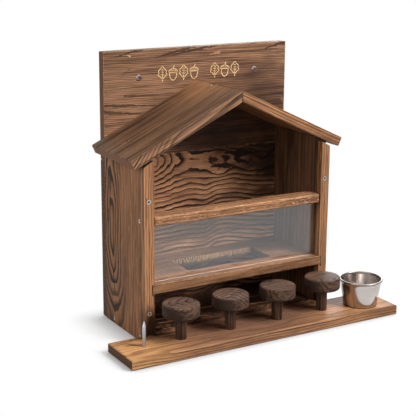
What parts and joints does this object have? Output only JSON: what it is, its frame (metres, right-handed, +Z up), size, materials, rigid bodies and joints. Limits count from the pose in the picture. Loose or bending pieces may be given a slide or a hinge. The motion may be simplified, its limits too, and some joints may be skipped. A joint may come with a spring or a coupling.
{
  "type": "squirrel feeder box",
  "caption": "Wall-hung wooden squirrel feeder: roofed hopper behind a clear pane, slotted counter over an open bay, front plank with stools, lift-out cup and corn spike.",
  "frame": {"origin": "middle of the footprint, on the plane of the underside: halfway along the front plank and halfway between the plank's front edge and the back board's rear face", "axes": "+X along the front plank towards the cup, +Y from the front plank to the back board, +Z up"},
  "size_m": [0.37, 0.175, 0.328],
  "materials": {
    "torched_pine": "scorched and oiled, satin",
    "pale_pine": "lightly scorched and oiled, satin",
    "stool_wood": "scorched, matt",
    "clear_acrylic": "clear, glossy",
    "cup_steel": "spun and polished",
    "screw_steel": "zinc plated"
  },
  "bodies": {
    "housing": {"back_plank_lower": "torched_pine", "back_plank_upper": "torched_pine", "side_panel_left": "torched_pine", "side_panel_right": "torched_pine", "front_strip_left": "pale_pine", "front_strip_right": "pale_pine", "base_board": "pale_pine", "counter_shelf": "pale_pine", "top_rail": "pale_pine", "roof_board_left": "torched_pine", "roof_board_right": "torched_pine", "window_pane": "clear_acrylic", "stool_seat_1": "stool_wood", "stool_seat_2": "stool_wood", "stool_seat_3": "stool_wood", "stool_seat_4": "stool_wood", "stool_leg_1": "stool_wood", "stool_leg_2": "stool_wood", "stool_leg_3": "stool_wood", "stool_leg_4": "stool_wood", "corn_spike": "screw_steel", "wall_screw_left": "screw_steel", "wall_screw_right": "screw_steel", "side_screw_left_rail": "screw_steel", "side_screw_left_base_front": "screw_steel", "side_screw_left_base_back": "screw_steel", "side_screw_right_rail": "screw_steel", "side_screw_right_base_front": "screw_steel", "side_screw_right_base_back": "screw_steel", "strip_screw_left_lower": "screw_steel", "strip_screw_left_upper": "screw_steel", "strip_screw_right_lower": "screw_steel", "strip_screw_right_upper": "screw_steel", "back_screw_left_low": "screw_steel", "back_screw_left_middle": "screw_steel", "back_screw_left_high": "screw_steel", "back_screw_right_low": "screw_steel", "back_screw_right_middle": "screw_steel", "back_screw_right_high": "screw_steel", "back_screw_base_left": "screw_steel", "back_screw_base_right": "screw_steel", "back_screw_counter_left": "screw_steel", "back_screw_counter_right": "screw_steel", "back_screw_roof_left": "screw_steel", "back_screw_roof_right": "screw_steel", "stool_screw_1": "screw_steel", "stool_screw_2": "screw_steel", "stool_screw_3": "screw_steel", "stool_screw_4": "screw_steel", "roof_nail_left": "screw_steel", "roof_nail_right": "screw_steel", "ridge_brad": "screw_steel"},
    "cup": {"sauce_cup": "cup_steel"}
  },
  "joints": [
    {"name": "cup_lift", "type": "slide", "parent": "housing", "child": "cup", "axis": [0, 0, 1], "range_m": [0, 0.06]}
  ]
}
